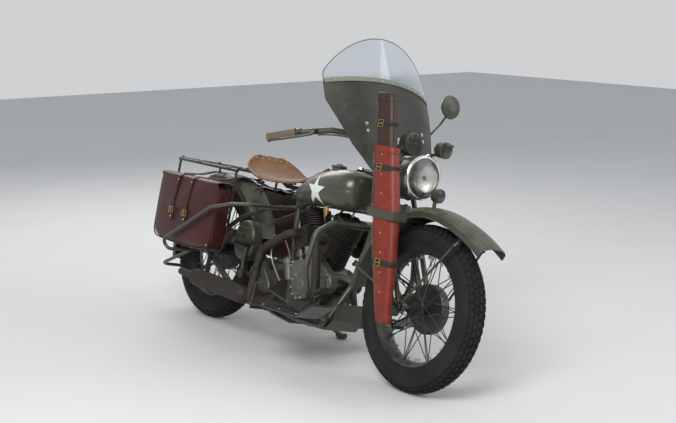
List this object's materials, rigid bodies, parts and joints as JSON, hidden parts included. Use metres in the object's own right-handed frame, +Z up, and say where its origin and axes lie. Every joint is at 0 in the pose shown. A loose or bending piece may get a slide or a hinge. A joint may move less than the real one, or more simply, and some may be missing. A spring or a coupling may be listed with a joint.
{
  "type": "military motorcycle",
  "caption": "Solo military motorcycle leaning on its side stand, with V engine, springer fork, windshield, scabbard and leather saddlebags.",
  "frame": {"origin": "on the floor at the middle of the parked machine", "axes": "+X forward, +Y to the rider's left, +Z up; the machine leans to +Y on its side stand"},
  "size_m": [2.1986, 0.9141, 1.3517],
  "materials": {
    "olive_paint": "satin olive drab paint",
    "black_paint": "black enamel",
    "engine_iron": "black and grey iron",
    "case_alloy": "dull cast alloy",
    "steel": "plain steel",
    "chrome": "bright plating",
    "tyre": "black rubber",
    "grip_rubber": "brown-black rubber",
    "tan_leather": "tan saddle leather",
    "oxblood_leather": "dark oxblood leather",
    "scabbard_leather": "orange-red leather, dark brown above",
    "clear_sheet": "clear sheet",
    "apron_canvas": "dark olive-brown sheet",
    "lens": "clear glass lens"
  },
  "bodies": {
    "machine": {"air_cleaner": "olive_paint", "carburettor": "steel", "crankcase": "case_alloy", "cylinders": "engine_iron", "drive_chain": "steel", "exhaust_pipes": "olive_paint", "foot_pedals": "black_paint", "footboards": "black_paint", "fuel_tanks": "olive_paint", "generator": "black_paint", "instrument_dash": "black_paint", "kick_starter": "chrome", "luggage_rack": "black_paint", "main_frame": "olive_paint", "muffler": "black_paint", "primary_cover": "olive_paint", "rear_fender": "olive_paint", "saddle": "tan_leather", "saddle_post": "black_paint", "saddlebags": "oxblood_leather", "shift_lever": "black_paint", "skid_plate": "olive_paint", "tail_lamps": "black_paint", "tool_box": "olive_paint", "transmission": "case_alloy", "tube_guards": "olive_paint"},
    "fork": {"fork_legs": "olive_paint", "spring_fork": "olive_paint", "front_fender": "olive_paint", "handlebar": "olive_paint", "grips": "grip_rubber", "windshield": "clear_sheet", "windshield_apron": "apron_canvas", "headlight": "olive_paint", "headlight_lens": "lens", "horn": "black_paint", "fender_lamps": "olive_paint", "mirror_left": "chrome", "scabbard": "scabbard_leather"},
    "front_wheel_body": {"front_tyre": "tyre", "front_wheel": "black_paint"},
    "rear_wheel_body": {"rear_tyre": "tyre", "rear_wheel": "black_paint"},
    "side_stand_leg": {"side_stand": "olive_paint"},
    "rear_stand_bail": {"rear_stand": "olive_paint"}
  },
  "joints": [
    {"name": "steering", "type": "hinge", "parent": "machine", "child": "fork", "pos_m": [0.41386, -0.01689, 0.75813], "axis": [-0.4695, 0.2001, 0.86], "range_deg": [-30, 30]},
    {"name": "front_wheel_spin", "type": "hinge", "parent": "fork", "child": "front_wheel_body", "pos_m": [0.757, -0.11753, 0.32569], "axis": [0, 0.974, -0.2267], "continuous": true},
    {"name": "rear_wheel_spin", "type": "hinge", "parent": "machine", "child": "rear_wheel_body", "pos_m": [-0.703, -0.11753, 0.32569], "axis": [0, 0.974, -0.2267], "continuous": true},
    {"name": "side_stand_swing", "type": "hinge", "parent": "machine", "child": "side_stand_leg", "pos_m": [-0.04792, -0.03809, 0.1111], "axis": [0.1333, 0.6215, 0.772], "range_deg": [0, 93]},
    {"name": "rear_stand_swing", "type": "hinge", "parent": "machine", "child": "rear_stand_bail", "pos_m": [-0.703, -0.11753, 0.32569], "axis": [0, -0.974, 0.2267], "range_deg": [0, 70]}
  ]
}
